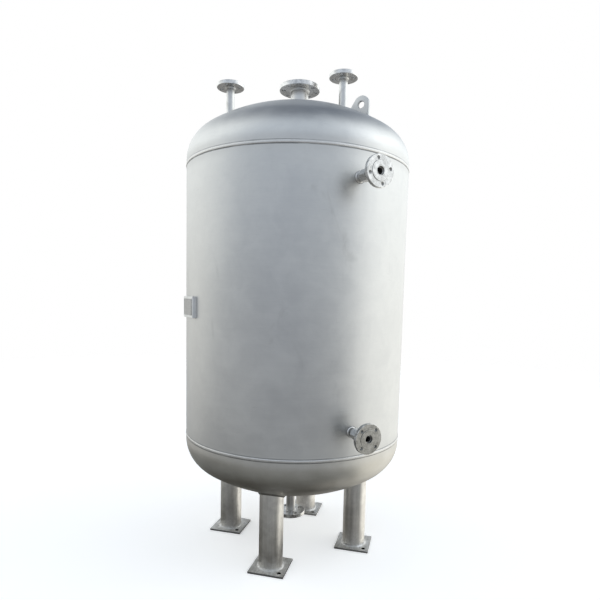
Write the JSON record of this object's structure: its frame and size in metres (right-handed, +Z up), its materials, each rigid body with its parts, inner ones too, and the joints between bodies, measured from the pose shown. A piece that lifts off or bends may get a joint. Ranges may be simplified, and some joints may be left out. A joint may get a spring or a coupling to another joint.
{
  "type": "vertical storage tank",
  "caption": "Upright cylindrical stainless steel storage tank with dished ends, standing on pipe legs, with flanged nozzles on top, below and at the side, and lifting lugs.",
  "frame": {"origin": "on the ground, on the tank's own axis, which is the middle of the outline seen from above", "axes": "+Z up along the tank's axis; +X towards the right leg and -Y towards the front leg; the top nozzles stand on the line of the left and right legs"},
  "size_m": [1.105, 1.105, 2.364],
  "materials": {
    "pickled_plate": "pickled, satin",
    "pickled_pipe": "pickled, satin",
    "machined_steel": "turned, bright",
    "base_plate": "rolled, scuffed",
    "weld_metal": "pickled weld bead",
    "sheet_metal": "satin sheet"
  },
  "bodies": {
    "root": {"shell": "pickled_plate", "top_head": "pickled_plate", "bottom_head": "pickled_plate", "top_seam_weld": "weld_metal", "bottom_seam_weld": "weld_metal", "leg_right": "pickled_pipe", "leg_back": "pickled_pipe", "leg_left": "pickled_pipe", "leg_front": "pickled_pipe", "base_plate_right": "base_plate", "base_plate_back": "base_plate", "base_plate_left": "base_plate", "base_plate_front": "base_plate", "foot_weld_right": "weld_metal", "foot_weld_back": "weld_metal", "foot_weld_left": "weld_metal", "foot_weld_front": "weld_metal", "left_nozzle_neck": "pickled_pipe", "left_nozzle_flange": "machined_steel", "centre_nozzle_neck": "pickled_pipe", "centre_nozzle_flange": "machined_steel", "right_nozzle_neck": "pickled_pipe", "right_nozzle_flange": "machined_steel", "drain_neck": "pickled_pipe", "drain_flange": "machined_steel", "upper_gauge_coupling": "pickled_pipe", "upper_gauge_pipe": "pickled_pipe", "upper_gauge_nut": "machined_steel", "upper_gauge_flange": "machined_steel", "lower_gauge_coupling": "pickled_pipe", "lower_gauge_pipe": "pickled_pipe", "lower_gauge_nut": "machined_steel", "lower_gauge_flange": "machined_steel", "lifting_lug_front": "pickled_plate", "lifting_lug_back": "pickled_plate", "nameplate_bracket": "sheet_metal", "nameplate": "sheet_metal"}
  },
  "joints": []
}
